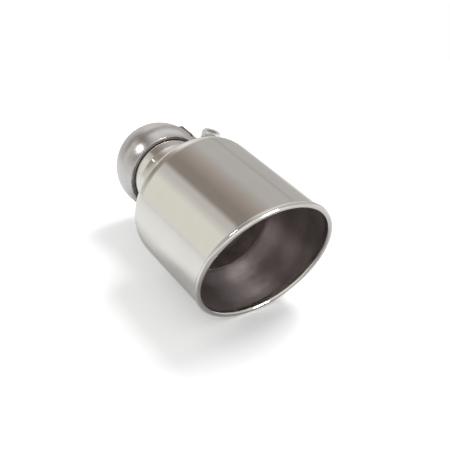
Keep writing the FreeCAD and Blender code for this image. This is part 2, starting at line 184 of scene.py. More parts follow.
# Heat tints of the welds, from the coolest place to the hottest
WELD_TINTS = ((0.52, 0.50, 0.48), (0.50, 0.42, 0.31), (0.36, 0.27, 0.24), (0.33, 0.34, 0.42))
SCORCHED_TINTS = ((0.36, 0.33, 0.31), (0.26, 0.20, 0.16), (0.17, 0.12, 0.10), (0.15, 0.14, 0.17))


def arc(centre, radius, start, end, steps):
    """Outline of an arc; degrees, from outward (0) towards the back (90)."""
    points = []
    for step in range(steps + 1):
        angle = math.radians(start + (end - start) * step / steps)
        points.append((centre[0] + radius * math.cos(angle), centre[1] + radius * math.sin(angle), 0))
    return points


def rounded(corners, steps=6):
    """Closed outline from corners (out, back, rounding), each rounding worked out as an arc."""
    points = []
    for index, (out, back, rounding) in enumerate(corners):
        corner = Vector((out, back))
        if rounding == 0:
            points.append(corner)
            continue
        before = (Vector(corners[index - 1][:2]) - corner).normalized()
        after = (Vector(corners[(index + 1) % len(corners)][:2]) - corner).normalized()
        half = before.angle(after) / 2
        centre = corner + (before + after).normalized() * rounding / math.sin(half)
        start = corner + before * rounding / math.tan(half) - centre
        end = corner + after * rounding / math.tan(half) - centre
        swing = math.atan2(start.x * end.y - start.y * end.x, start.dot(end))
        for step in range(steps + 1):
            points.append(centre + Matrix.Rotation(swing * step / steps, 2) @ start)
    return [tuple(point) for point in points]


def around(outline, angle):
    """Outline turned about Y; the angle runs from +X towards +Z."""
    return [(out * math.cos(angle), back, out * math.sin(angle)) for out, back in outline]


def upright(outline, angle):
    """Outline of (out, up) turned about Z, for fasteners."""
    return [(out * math.cos(angle), out * math.sin(angle), up) for out, up in outline]


def full_turn(steps):
    """Angles of even steps round a full turn."""
    return [2 * math.pi * step / steps for step in range(steps)]


def skin(name, rows, wrap_rows=True, place=None):
    """Piece whose surface joins closed rows of points, in millimetres.

    Where the rows themselves don't close, the first and the last are filled with a face.
    """
    columns = len(rows[0])
    faces = []
    for row in range(len(rows) if wrap_rows else len(rows) - 1):
        after = (row + 1) % len(rows)
        for column in range(columns):
            beside = (column + 1) % columns
            faces.append((row * columns + column, row * columns + beside,
                          after * columns + beside, after * columns + column))
    mesh = bpy.data.meshes.new(name)
    mesh.from_pydata([[value * MM for value in point] for row in rows for point in row], [], faces)
    work = bmesh.new()
    work.from_mesh(mesh)
    bmesh.ops.remove_doubles(work, verts=work.verts, dist=SAME_POINT * MM)
    bmesh.ops.holes_fill(work, edges=[edge for edge in work.edges if edge.is_boundary])
    bmesh.ops.recalc_face_normals(work, faces=work.faces)
    work.to_mesh(mesh)
    work.free()
    if place is not None:
        mesh.transform(place)
    item = bpy.data.objects.new(name, mesh)
    bpy.context.scene.collection.objects.link(item)
    return item


def soften(item, angle=30):
    """Smooth shading, broken only at edges sharper than the angle."""
    item.data.polygons.foreach_set("use_smooth", [True] * len(item.data.polygons))
    item.data.set_sharp_from_angle(angle=math.radians(angle))


def finish_piece(item, body, slot, *materials, stands_for=None, angle=30):
    """Give a piece its materials, its shading and its body, and hide the node that it replaces; the slot
    is not used.
    """
    for material in materials:
        item.data.materials.append(material)
    soften(item, angle)
    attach(item, body)
    if stands_for is not None:
        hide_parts(stands_for)
    return item


def paint(item, number, test):
    """Give the faces whose centre passes the test (out, back, face) another of the piece's materials."""
    for face in item.data.polygons:
        out = math.hypot(face.center.x, face.center.z) / MM
        if test(out, face.center.y / MM, face):
            face.material_index = number


def ball_shell():
    """Split sheet ball whose mouth turns in to the collar."""
    socket = BALL - CLAMP_SHEET
    fold_out = PIPE + MOUTH_FOLD
    fold_back = math.sqrt((BALL - MOUTH_FOLD) ** 2 - fold_out ** 2)
    fold_angle = math.degrees(math.atan2(fold_back, fold_out))
    rim_outer = math.degrees(math.asin(RIM_PLACE / BALL))
    rim_inner = math.degrees(math.asin(RIM_PLACE / socket))
    fold = (fold_out, fold_back)
    inset = math.degrees(RIM_ROUND / BALL)
    inner_round = RIM_ROUND * 0.4
    past_fold = 8
    outline = rounded(
        [(socket * math.cos(math.radians(rim_inner)), RIM_PLACE, inner_round)]
        + [(BALL * math.cos(math.radians(rim_outer)), RIM_PLACE, RIM_ROUND)]
        + arc((0, 0), BALL, rim_outer + inset, fold_angle, 48)
        + arc(fold, MOUTH_FOLD, fold_angle + past_fold, 180, 12)
        + [(PIPE, COLLAR_FRONT, COLLAR_ROUND), (PIPE + CLAMP_SHEET, COLLAR_FRONT, COLLAR_ROUND)]
        + arc(fold, MOUTH_FOLD - CLAMP_SHEET, 180, fold_angle, 6)
        + arc((0, 0), socket, fold_angle - 1, rim_inner + inset, 24))
    slot_edge = [math.asin(SPLIT_WIDTH / 2 / out) for out, back in outline]
    rows = []
    for step in range(BALL_STEPS + 1):
        share = step / BALL_STEPS
        row = []
        for (out, back), edge in zip(outline, slot_edge):
            angle = -SPLIT_ANGLE + edge + share * 2 * (math.pi - edge)
            row.append((out * math.cos(angle), back, out * math.sin(angle)))
        rows.append(row)
    return skin("ball_shell", rows, wrap_rows=False)


def neck_outline():
    """One formed tube: ball end, neck, flare, and a throat that thins out towards the liner.

    The ball end reaches the shell's rim, where it turns into the neck in a tight hollow.
    """
    ball = BALL - CLAMP_SHEET - BALL_PLAY
    inner = ball - TUBE_SHEET
    edge = math.degrees(math.asin(BALL_END_HALF / ball))
    inner_edge = math.degrees(math.asin(BALL_END_HALF / inner))
    bore = NECK - TUBE_SHEET
    throat_bore = THROAT - TUBE_SHEET
    inner_bend = 8
    feather_bend = 4.0
    bore_foot_bend = 1.0
    foot_bend = 0.6
    shoulder_bend = 0.7
    return rounded(
        arc((0, 0), inner, inner_edge, -inner_edge, 12)
        + [(bore, NECK_FOOT, bore_foot_bend), (bore, FLARE_START, inner_bend)]
        + [(throat_bore, FLARE_END, inner_bend)]
        + [(throat_bore, THROAT_END + THROAT_FEATHER, feather_bend)]
        + [(THROAT - THROAT_THIN_END, THROAT_END, 0), (THROAT, THROAT_END, 0)]
        + [(THROAT, FLARE_END, FLARE_BEND), (NECK, FLARE_START, FLARE_BEND)]
        + [(NECK, NECK_FOOT, foot_bend), (*NECK_SHOULDER, shoulder_bend)]
        + arc((0, 0), ball, -edge, edge, 12), steps=8)


def sleeve_outline():
    """Collar on the neck, its rear edge well rounded."""
    front_round = 0.2
    return rounded([
        (NECK, SLEEVE_START, 0.0),
        (NECK, SLEEVE_END, 0),
        (SLEEVE, SLEEVE_END, front_round),
        (SLEEVE, SLEEVE_START, SLEEVE_ROUND),
    ], steps=12)


def weld_bead():
    """Bead between sleeve and rear wall, with the overlapping crescents that its making leaves."""
    crescent_steps = 8
    section_steps = 10
    bow = 1.6
    hollow = 1.25
    lean = 0.7
    sunk_in_sleeve = 0.2
    sunk_in_wall = 0.4
    root = (SLEEVE - sunk_in_sleeve, BODY_REAR - sunk_in_wall)
    rows = []
    for angle in full_turn(WELD_CRESCENTS * crescent_steps):
        row = []
        for step in range(section_steps + 1):
            share = step / section_steps
            beat = (angle * WELD_CRESCENTS / (2 * math.pi) + bow * (share - 0.5) ** 2) % 1.0
            middle = 4 * share * (1 - share)
            proud = (WELD_HEIGHT + WELD_SWELL * (1 - beat) ** 1.5) * middle
            out = SLEEVE + WELD_LEG * share ** hollow + proud * lean
            back = BODY_REAR + WELD_LEG * (1 - share) ** hollow + proud * lean
            row.append((out, back))
        rows.append(around(row + [root], angle))
    return skin("weld_bead", rows)


def roll_frame(angle):
    """Centre of the roll at an angle round the lip, its outward direction and its front."""
    rise = ROLL_PATH * math.sin(angle)
    centre = Vector((ROLL_PATH * math.cos(angle), LIP_PLACE - rise * math.tan(SLANT), rise))
    along = Vector((-math.sin(angle), -math.cos(angle) * math.tan(SLANT), math.cos(angle)))
    front = Vector((0, -math.cos(SLANT), -math.sin(SLANT)))
    out = along.cross(front).normalized()
    if out.x * centre.x + out.z * centre.z < 0:
        out.negate()
    return centre, out, front


def on_roll(place, radius, degrees):
    """Point of the roll's section: outward (0), front (90), inward (180)."""
    centre, out, front = place
    turn = math.radians(degrees)
    return centre + radius * (math.cos(turn) * out + math.sin(turn) * front)


def shoulder_outline():
    """Rear wall and shoulder; the side leans in a little before it turns."""
    tilt = math.radians(LEAD_DEGREES)
    drop = math.tan(tilt) * LEAD_IN / 2
    centre = (BODY - drop - SHOULDER * math.cos(tilt), BODY_REAR - SHOULDER)
    start = centre[1] + SHOULDER * math.sin(tilt) - LEAD_IN
    steps = 8
    lead = []
    for step in range(steps):
        share = step / steps
        lead.append((BODY - drop * share ** 2, start + LEAD_IN * step / steps, 0))
    return arc(centre, SHOULDER, 90, LEAD_DEGREES, 28) + lead[::-1]


def side_on_roll(place):
    """Degrees on the roll's section at which its back is as far out as the body's side."""
    low = -85.0
    high = 0.0
    for _ in range(30):
        middle = (low + high) / 2
        point = on_roll(place, ROLL, middle)
        if math.hypot(point.x, point.z) < BODY:
            low = middle
        else:
            high = middle
    return low


def body_row(angle):
    """Section of the body: rear wall, shoulder, side, groove, roll, and back inside."""
    place = roll_frame(angle)
    meets = side_on_roll(place)
    meeting = on_roll(place, ROLL, meets)
    side = math.atan2(meeting.z, meeting.x)
    leave = meets + math.degrees(GROOVE / ROLL)
    side_end = 4
    inner_side_end = 3
    groove_steps = 5
    outer = rounded(
        [(SLEEVE, BODY_REAR, 0), (SLEEVE + WELD_LEG, BODY_REAR, 0)]
        + shoulder_outline()
        + [(BODY, meeting.y + side_end, 0), (BODY, meeting.y + GROOVE, 0)])
    row = [Vector(point) for point in around(outer, side)]
    start = row[-1]
    end = on_roll(place, ROLL, leave)
    for step in range(1, groove_steps):
        share = step / groove_steps
        row.append((1 - share) ** 2 * start + 2 * share * (1 - share) * meeting + share ** 2 * end)
    roll_steps = 44
    for step in range(roll_steps + 1):
        row.append(on_roll(place, ROLL, leave + (180 - leave) * step / roll_steps))
    # inside the mouth the rolled sheet runs straight back for a little, along the axis
    inner = row[-1]
    outward = Vector((inner.x, 0, inner.z)).normalized()
    edge = 0.25
    chamfer = 0.3 * edge
    for out, back in ((0, 0.3 * ROLL_RETURN), (0, 0.6 * ROLL_RETURN), (0, ROLL_RETURN - edge),
                      (chamfer, ROLL_RETURN - chamfer), (edge, ROLL_RETURN),
                      (BODY_SHEET, ROLL_RETURN)):
        row.append(inner + outward * out + Vector((0, back, 0)))
    hollow = ROLL - BODY_SHEET
    past_back = 60
    hollow_steps = 14
    for step in range(hollow_steps + 1):
        row.append(on_roll(place, hollow, 180 - (180 + past_back) * step / hollow_steps))
    inside = BODY - BODY_SHEET
    back_inside = rounded(
        [(inside, meeting.y + inner_side_end, 0)]
        + arc((inside - SHOULDER, BODY_REAR - SHOULDER - BODY_SHEET), SHOULDER, 0, 90, 8)
        + [(SLEEVE, BODY_REAR - BODY_SHEET, 0)])
    return row + around(back_inside, side)


def liner_row(angle):
    """Section of the liner: mouth behind the roll, funnel, throat, and back outside."""
    waist_out, waist_back = FUNNEL_WAIST
    steep = math.atan2(waist_out - THROAT, FUNNEL_NECK - waist_back)
    flat = math.atan2(LINER_MOUTH - waist_out, waist_back - FUNNEL_MOUTH)

    def behind(corner, first, second, rounding):
        """Corner of the outer face, the sheet's thickness off a corner between two slopes."""
        reach = LINER_SHEET / math.cos((first - second) / 2)
        middle = (first + second) / 2
        return corner[0] + reach * math.cos(middle), corner[1] + reach * math.sin(middle), rounding

    mouth = on_roll(roll_frame(angle), ROLL, 180).y + ROLL_RETURN + BEHIND_ROLL
    return around(rounded([
        (LINER_MOUTH, mouth, 0),
        (LINER_MOUTH, FUNNEL_MOUTH, FUNNEL_BEND),
        (*FUNNEL_WAIST, WAIST_BEND),
        (THROAT, FUNNEL_NECK, THROAT_BEND),
        (THROAT, LINER_TAIL, 0),
        (THROAT + LINER_SHEET, LINER_TAIL, 0),
        behind((THROAT, FUNNEL_NECK), 0, steep, THROAT_BEND - LINER_SHEET),
        behind(FUNNEL_WAIST, steep, flat, WAIST_BEND + LINER_SHEET),
        behind((LINER_MOUTH, FUNNEL_MOUTH), flat, 0, FUNNEL_BEND + LINER_SHEET),
        (LINER_MOUTH + LINER_SHEET, mouth, 0),
    ], steps=16), angle)


def thread_height(turns):
    """Height of a thread from its root (0) to its crest (1), a number of turns along it."""
    root_share = 0.12
    flank_share = 0.72
    wave = abs(2 * (turns % 1.0) - 1)
    return min(max((wave - root_share) / flank_share, 0.0), 1.0)


def threaded(radius, low, high, limit, rings):
    """Rows of a threaded surface; limit(up, out) gives the radius that a chamfer leaves there."""
    rows = []
    for ring in range(rings + 1):
        up = low + (high - low) * ring / rings
        row = []
        for angle in full_turn(THREAD_STEPS):
            out = radius - THREAD_DEPTH * (1 - thread_height(up / THREAD_PITCH - angle / (2 * math.pi)))
            out = limit(up, out)
            row.append((out * math.cos(angle), out * math.sin(angle), up))
        rows.append(row)
    return rows


def hexagon(bore, low, high, bevel_low, bevel_high):
    """Rows of a hexagon with turned corners, and a bore with a countersink where there is one."""
    rows = []
    corner = HEX_FLATS / math.sqrt(3)
    narrow = corner - HEX_BEVEL
    sink = COUNTERSINK if bore else 0.0
    soft_in = HEX_SOFT * 0.3
    soft_up = HEX_SOFT * 0.7
    for angle in full_turn(HEX_STEPS):
        sector = (angle + math.pi / 6) % (math.pi / 3) - math.pi / 6
        # the six upright edges are a little rounded
        edge = min(HEX_FLATS / 2 / math.cos(sector), corner - HEX_BLUNT)
        drop = max(edge - narrow, 0.0) * HEX_SLOPE
        low_drop = (drop if bevel_low else 0.0) + HEX_SOFT
        high_drop = (drop if bevel_high else 0.0) + HEX_SOFT
        shoulder = min(narrow, edge - HEX_SOFT)
        low_shoulder = shoulder if bevel_low else edge - HEX_SOFT
        high_shoulder = shoulder if bevel_high else edge - HEX_SOFT
        rows.append(upright([
            (bore, low + sink),
            (bore + sink, low),
            (low_shoulder, low),
            (edge - soft_in, low + low_drop - soft_up),
            (edge, low + low_drop),
            (edge, high - high_drop),
            (edge - soft_in, high - high_drop + soft_up),
            (high_shoulder, high),
            (bore + sink, high),
            (bore, high - sink),
        ], angle))
    return rows


def copy_rounded(node, name, width):
    """Copy of a CAD node with its hard edges broken, as tumbling leaves them."""
    mesh = nodes[node].data.copy()
    mesh.materials.clear()
    item = bpy.data.objects.new(name, mesh)
    bpy.context.scene.collection.objects.link(item)
    work = bmesh.new()
    work.from_mesh(mesh)
    bmesh.ops.remove_doubles(work, verts=work.verts, dist=SAME_CAD_POINT * MM)
    bmesh.ops.dissolve_limit(
        work, angle_limit=math.radians(0.5), verts=work.verts, edges=work.edges)
    bmesh.ops.recalc_face_normals(work, faces=work.faces)
    work.to_mesh(mesh)
    work.free()
    bevel = item.modifiers.new("broken_edges", "BEVEL")
    bevel.width = width * MM
    bevel.segments = 3
    bevel.limit_method = "ANGLE"
    bevel.angle_limit = math.radians(35)
    evaluated = item.evaluated_get(bpy.context.evaluated_depsgraph_get())
    shaped = bpy.data.meshes.new_from_object(evaluated)
    item.modifiers.clear()
    item.data = shaped
    return item


def leg_axes(side):
    """Directions of a lug: away from its leg, along the leg to the ear, and away from the ear."""
    away = side * LEG_ANGLE - SPLIT_ANGLE
    along = away - side * math.pi / 2
    ear = side * math.pi / 2 - SPLIT_ANGLE
    return [Vector((math.cos(angle), 0, math.sin(angle))) for angle in (away, along, ear)]


def lug_weld_path():
    """Path of (along the leg, back, degrees it faces): rear edge, corner and free end of the leg."""
    rear = LUG_BACK + LUG_HALF
    front = LUG_BACK - LUG_HALF
    edge_steps = 44
    corner_steps = 10
    end_steps = 2 * edge_steps
    path = []
    for step in range(edge_steps):
        path.append((LUG_WELD_START + (LEG_END - LUG_WELD_START) * step / edge_steps, rear, 90.0))
    for step in range(corner_steps):
        path.append((LEG_END, rear, 90 + 90 * step / corner_steps))
    for step in range(end_steps + 1):
        path.append((LEG_END, rear + (front - rear) * step / end_steps, 180.0))
    return path


def lug_weld(name, side):
    """Bead round the leg's free end and rear edge, where the ball falls away under the plate."""
    away, along, _ = leg_axes(side)
    path = lug_weld_path()
    ripple_steps = 5
    ripple_width = 0.25
    top_share = 0.72
    under_plate = -0.25
    sunk = 0.4
    face_steps = 8
    end_share = 0.25
    end_steps = 8
    rows = []
    for number, (reach, back, degrees) in enumerate(path):
        from_end = min(number, len(path) - 1 - number)
        taper = min(1.0, end_share + from_end / end_steps)
        ripple = 0.5 + 0.5 * math.cos(number * 2 * math.pi / ripple_steps)
        width = (LUG_WELD_WIDTH + ripple_width * ripple) * taper
        turn = math.radians(degrees)
        outward = (math.cos(turn), math.sin(turn))

        def beside_plate(distance, level=None, below=0.0):
            """Point at a distance from the plate's edge, on the ball or below it, or at a level."""
            s = reach + outward[0] * distance
            y = back + outward[1] * distance
            if level is None:
                level = math.sqrt(BALL ** 2 - s ** 2 - y ** 2) - below
            return along * s + Vector((0, y, 0)) + away * level

        top = beside_plate(under_plate, level=LEG_INNER + LUG_SHEET * top_share * taper)
        toe = beside_plate(width)
        row = [top]
        for step in range(1, face_steps):
            share = step / face_steps
            bulge = math.sin(share * math.pi) * LUG_WELD_BULGE * (1 + 0.5 * ripple)
            lift = away * bulge + (along * outward[0] + Vector((0, outward[1], 0))) * bulge
            row.append(top.lerp(toe, share) + lift)
        row += [toe, beside_plate(width, below=sunk), beside_plate(under_plate, below=sunk)]
        rows.append([tuple(point) for point in row])
    return skin(name, rows, wrap_rows=False)


class Net:
    """Short ways to add shader nodes to one tree."""

    def __init__(self, tree):
        self.tree = tree
        tree.nodes.clear()

    def add(self, kind, inputs=None, **settings):
        """New node of a kind, with its settings and what its inputs hold or take."""
        node = self.tree.nodes.new("ShaderNode" + kind)
        for name, value in settings.items():
            setattr(node, name, value)
        for name, value in (inputs or {}).items():
            self.feed(node.inputs[name], value)
        return node

    def feed(self, socket, value):
        """Link a socket to a node or to its output, or set it to a value."""
        if isinstance(value, bpy.types.NodeSocket):
            self.tree.links.new(value, socket)
        elif hasattr(value, "outputs"):
            self.tree.links.new(value.outputs[0], socket)
        elif isinstance(value, (tuple, list)) and len(value) == 3 and len(socket.default_value) == 4:
            socket.default_value = (*value, 1.0)
        else:
            socket.default_value = value

    def math(self, operation, first, second=0.0, third=0.0):
        """Result of a sum or other function of up to three values."""
        node = self.add("Math", operation=operation)
        for socket, value in zip(node.inputs, (first, second, third)):
            self.feed(socket, value)
        return node.outputs[0]

    def spread(self, value, low, high, out_low=0.0, out_high=1.0):
        """Map value from low..high to out_low..out_high, held at both ends."""
        return self.add("MapRange", {"Value": value, "From Min": low, "From Max": high,
                                     "To Min": out_low, "To Max": out_high}).outputs[0]

    def plus(self, value, pattern, low, high, most):
        """A value, and more of it up to the most where a pattern goes from low to high."""
        return self.math("ADD", value, self.spread(pattern, low, high, 0.0, most))

    def mix(self, factor, first, second):
        """Colour that goes from the first to the second with a factor."""
        node = self.add("Mix", data_type="RGBA")
        self.feed(node.inputs[0], factor)
        self.feed(node.inputs[6], first)
        self.feed(node.inputs[7], second)
        return node.outputs[2]

    def ramp(self, factor, stops):
        """Colour ramp from a list of (place, colour)."""
        node = self.add("ValToRGB", {"Fac": factor})
        ramp = node.color_ramp
        while len(ramp.elements) > 1:
            ramp.elements.remove(ramp.elements[-1])
        ramp.elements[0].position = stops[0][0]
        ramp.elements[0].color = (*stops[0][1], 1.0)
        for place, colour in stops[1:]:
            ramp.elements.new(place).color = (*colour, 1.0)
        return node.outputs[0]

    def place(self):
        """Place in the piece's own space, in metres."""
        return self.add("TexCoord").outputs["Object"]

    def noise(self, where, scale, detail=2.0, roughness=0.5):
        """Cloudy pattern from 0 to 1, its scale per metre."""
        return self.add("TexNoise", {"Vector": where, "Scale": scale, "Detail": detail,
                                     "Roughness": roughness}).outputs["Fac"]

    def stretched(self, where, scales, detail=3.0, roughness=0.5, turned=(0, 0, 0)):
        """Cloudy pattern with a scale of its own along each axis."""
        mapped = self.add("Mapping", {"Vector": where, "Rotation": turned, "Scale": scales})
        return self.noise(mapped, 1.0, detail, roughness)

    def bump(self, height, distance, under=None):
        """Bump of a height from 0 to 1, its distance in millimetres."""
        inputs = {"Height": height, "Distance": distance * MM}
        if under is not None:
            inputs["Normal"] = under
        return self.add("Bump", inputs).outputs[0]

    def streaks(self, where, fine, slow):
        """Noise in rings round the Y axis: fine per metre across them, slow per turn along them."""
        axes = self.add("SeparateXYZ", {"Vector": where}).outputs
        squares = [self.math("MULTIPLY", axes[name], axes[name]) for name in "XZ"]
        out = self.math("SQRT", self.math("ADD", *squares))
        along = [self.math("MULTIPLY", self.math("DIVIDE", axes[name], out), slow) for name in "XZ"]
        across = self.math("MULTIPLY", self.math("ADD", axes["Y"], out), fine)
        rings = self.add("CombineXYZ", {"X": along[0], "Y": across, "Z": along[1]})
        return self.noise(rings, 1.0, detail=3.0, roughness=0.6)


def new_material(name):
    """Material with an empty tree, and the net that fills it."""
    material = bpy.data.materials.new(name)
    material.use_nodes = True
    return material, Net(material.node_tree)


def steel(net, colour, roughness, normal, metallic=1.0, brushed=0.0):
    """Metal surface; brushed steel has its grooves round the Y axis."""
    inputs = {"Base Color": colour, "Metallic": metallic, "Roughness": roughness, "Normal": normal}
    if brushed:
        inputs["Anisotropic"] = brushed
        inputs["Anisotropic Rotation"] = 0.25
        inputs["Tangent"] = net.add("Tangent", direction_type="RADIAL", axis="Y")
    net.add("OutputMaterial", {"Surface": net.add("BsdfPrincipled", inputs)})


def polished_steel():
    """Mirror-polished stainless: faint haze, buffing lines round the axis and a slightly wavy sheet."""
    material, net = new_material("polished_steel")
    place = net.place()
    haze = net.noise(place, scale=38, detail=4.0, roughness=0.62)
    buffing = net.streaks(place, fine=1400, slow=2.2)
    wipes = net.stretched(place, (260, 18, 60), turned=(0.5, 0.3, 0.9))
    waves = net.noise(place, scale=26, detail=1.0)
    roughness = net.spread(haze, 0.35, 0.72, out_low=0.035, out_high=0.075)
    roughness = net.plus(roughness, buffing, 0.5, 0.8, most=0.035)
    roughness = net.plus(roughness, wipes, 0.62, 0.8, most=0.04)
    colour = net.mix(net.spread(haze, 0.3, 0.7), *POLISHED_TINTS)
    normal = net.bump(waves, 0.035)
    normal = net.bump(buffing, 0.0012, under=normal)
    steel(net, colour, roughness, normal)
    return material


def satin_steel():
    """Spun and satin-finished stainless of the clamp: soft sheen, fine grain, faint spinning lines."""
    material, net = new_material("satin_steel")
    place = net.place()
    blotches = net.noise(place, scale=75, detail=3.0, roughness=0.55)
    grain = net.noise(place, scale=2600, roughness=0.7)
    rings = net.streaks(place, fine=900, slow=3.0)
    roughness = net.spread(blotches, 0.3, 0.7, out_low=0.2, out_high=0.28)
    roughness = net.plus(roughness, rings, 0.4, 0.75, most=0.05)
    colour = net.mix(net.spread(blotches, 0.32, 0.68), *SATIN_TINTS)
    colour = net.mix(net.spread(rings, 0.55, 0.8, out_high=0.2), colour, SATIN_RINGS)
    normal = net.bump(blotches, 0.014)
    normal = net.bump(grain, 0.0016, under=normal)
    normal = net.bump(rings, 0.003, under=normal)
    steel(net, colour, roughness, normal)
    return material


def liner_steel():
    """Dull brown-grey stainless inside: drawing streaks round the funnel, a little soot."""
    material, net = new_material("liner_steel")
    place = net.place()
    stain = net.noise(place, scale=42, detail=4.0, roughness=0.6)
    rings = net.streaks(place, fine=700, slow=3.0)
    colour = net.mix(net.spread(stain, 0.3, 0.7), *LINER_TINTS)
    colour = net.mix(net.spread(rings, 0.5, 0.8, out_high=0.3), colour, LINER_RINGS)
    roughness = net.spread(stain, 0.3, 0.7, out_low=0.36, out_high=0.44)
    roughness = net.plus(roughness, rings, 0.4, 0.7, most=0.06)
    normal = net.bump(stain, 0.02)
    normal = net.bump(rings, 0.006, under=normal)
    steel(net, colour, roughness, normal, brushed=0.85)
    return material


def bare_steel(name, tints):
    """Raw steel out of reach of the polish, and oily steel that also gives the painted shade in the
    body's groove and at the neck's foot: dull, rough and stained.
    """
    material, net = new_material(name)
    stain = net.noise(net.place(), scale=70, detail=5.0, roughness=0.7)
    colour = net.mix(net.spread(stain, 0.3, 0.7), *tints)
    roughness = net.spread(stain, 0.3, 0.7, out_low=0.42, out_high=0.55)
    steel(net, colour, roughness, net.bump(stain, 0.05))
    return material


def plated_steel():
    """Bright zinc on the fasteners: cool grey, a little cloudy and finely grained."""
    material, net = new_material("plated_steel")
    place = net.place()
    cloud = net.noise(place, scale=420, detail=3.0, roughness=0.6)
    grain = net.noise(place, scale=3200)
    colour = net.mix(net.spread(cloud, 0.3, 0.7), *ZINC_TINTS)
    roughness = net.spread(cloud, 0.3, 0.7, out_low=0.14, out_high=0.24)
    normal = net.bump(cloud, 0.010)
    normal = net.bump(grain, 0.003, under=normal)
    steel(net, colour, roughness, normal, metallic=0.75)
    return material


def weld_metal(name, tints):
    """Cast skin of a weld, with the tints that the heat leaves."""
    material, net = new_material(name)
    place = net.place()
    heat = net.noise(place, scale=130, detail=3.0, roughness=0.6)
    pits = net.noise(place, scale=1500)
    colour = net.ramp(heat, list(zip((0.3, 0.5, 0.62, 0.75), tints)))
    roughness = net.spread(heat, 0.3, 0.7, out_low=0.22, out_high=0.38)
    steel(net, colour, roughness, net.bump(pits, 0.01))
    return material


def sheared_steel():
    """Raw sheared edge of the lugs: torn across the sheet, and in shade where it meets the ball."""
    material, net = new_material("sheared_steel")
    place = net.place()
    from_centre = net.add("VectorMath", {0: place}, operation="LENGTH").outputs["Value"]
    shade_low = (BALL + 0.15) * MM
    shade_high = (BALL + 0.65) * MM
    tears = net.stretched(place, (700, 700, 260), roughness=0.7)
    torn = net.mix(net.spread(tears, 0.45, 0.55), *TORN_TINTS)
    colour = net.mix(net.spread(from_centre, shade_low, shade_high), SHADED_EDGE, torn)
    roughness = net.spread(tears, 0.3, 0.7, out_low=0.3, out_high=0.5)
    steel(net, colour, roughness, net.bump(tears, 0.12))
    return material


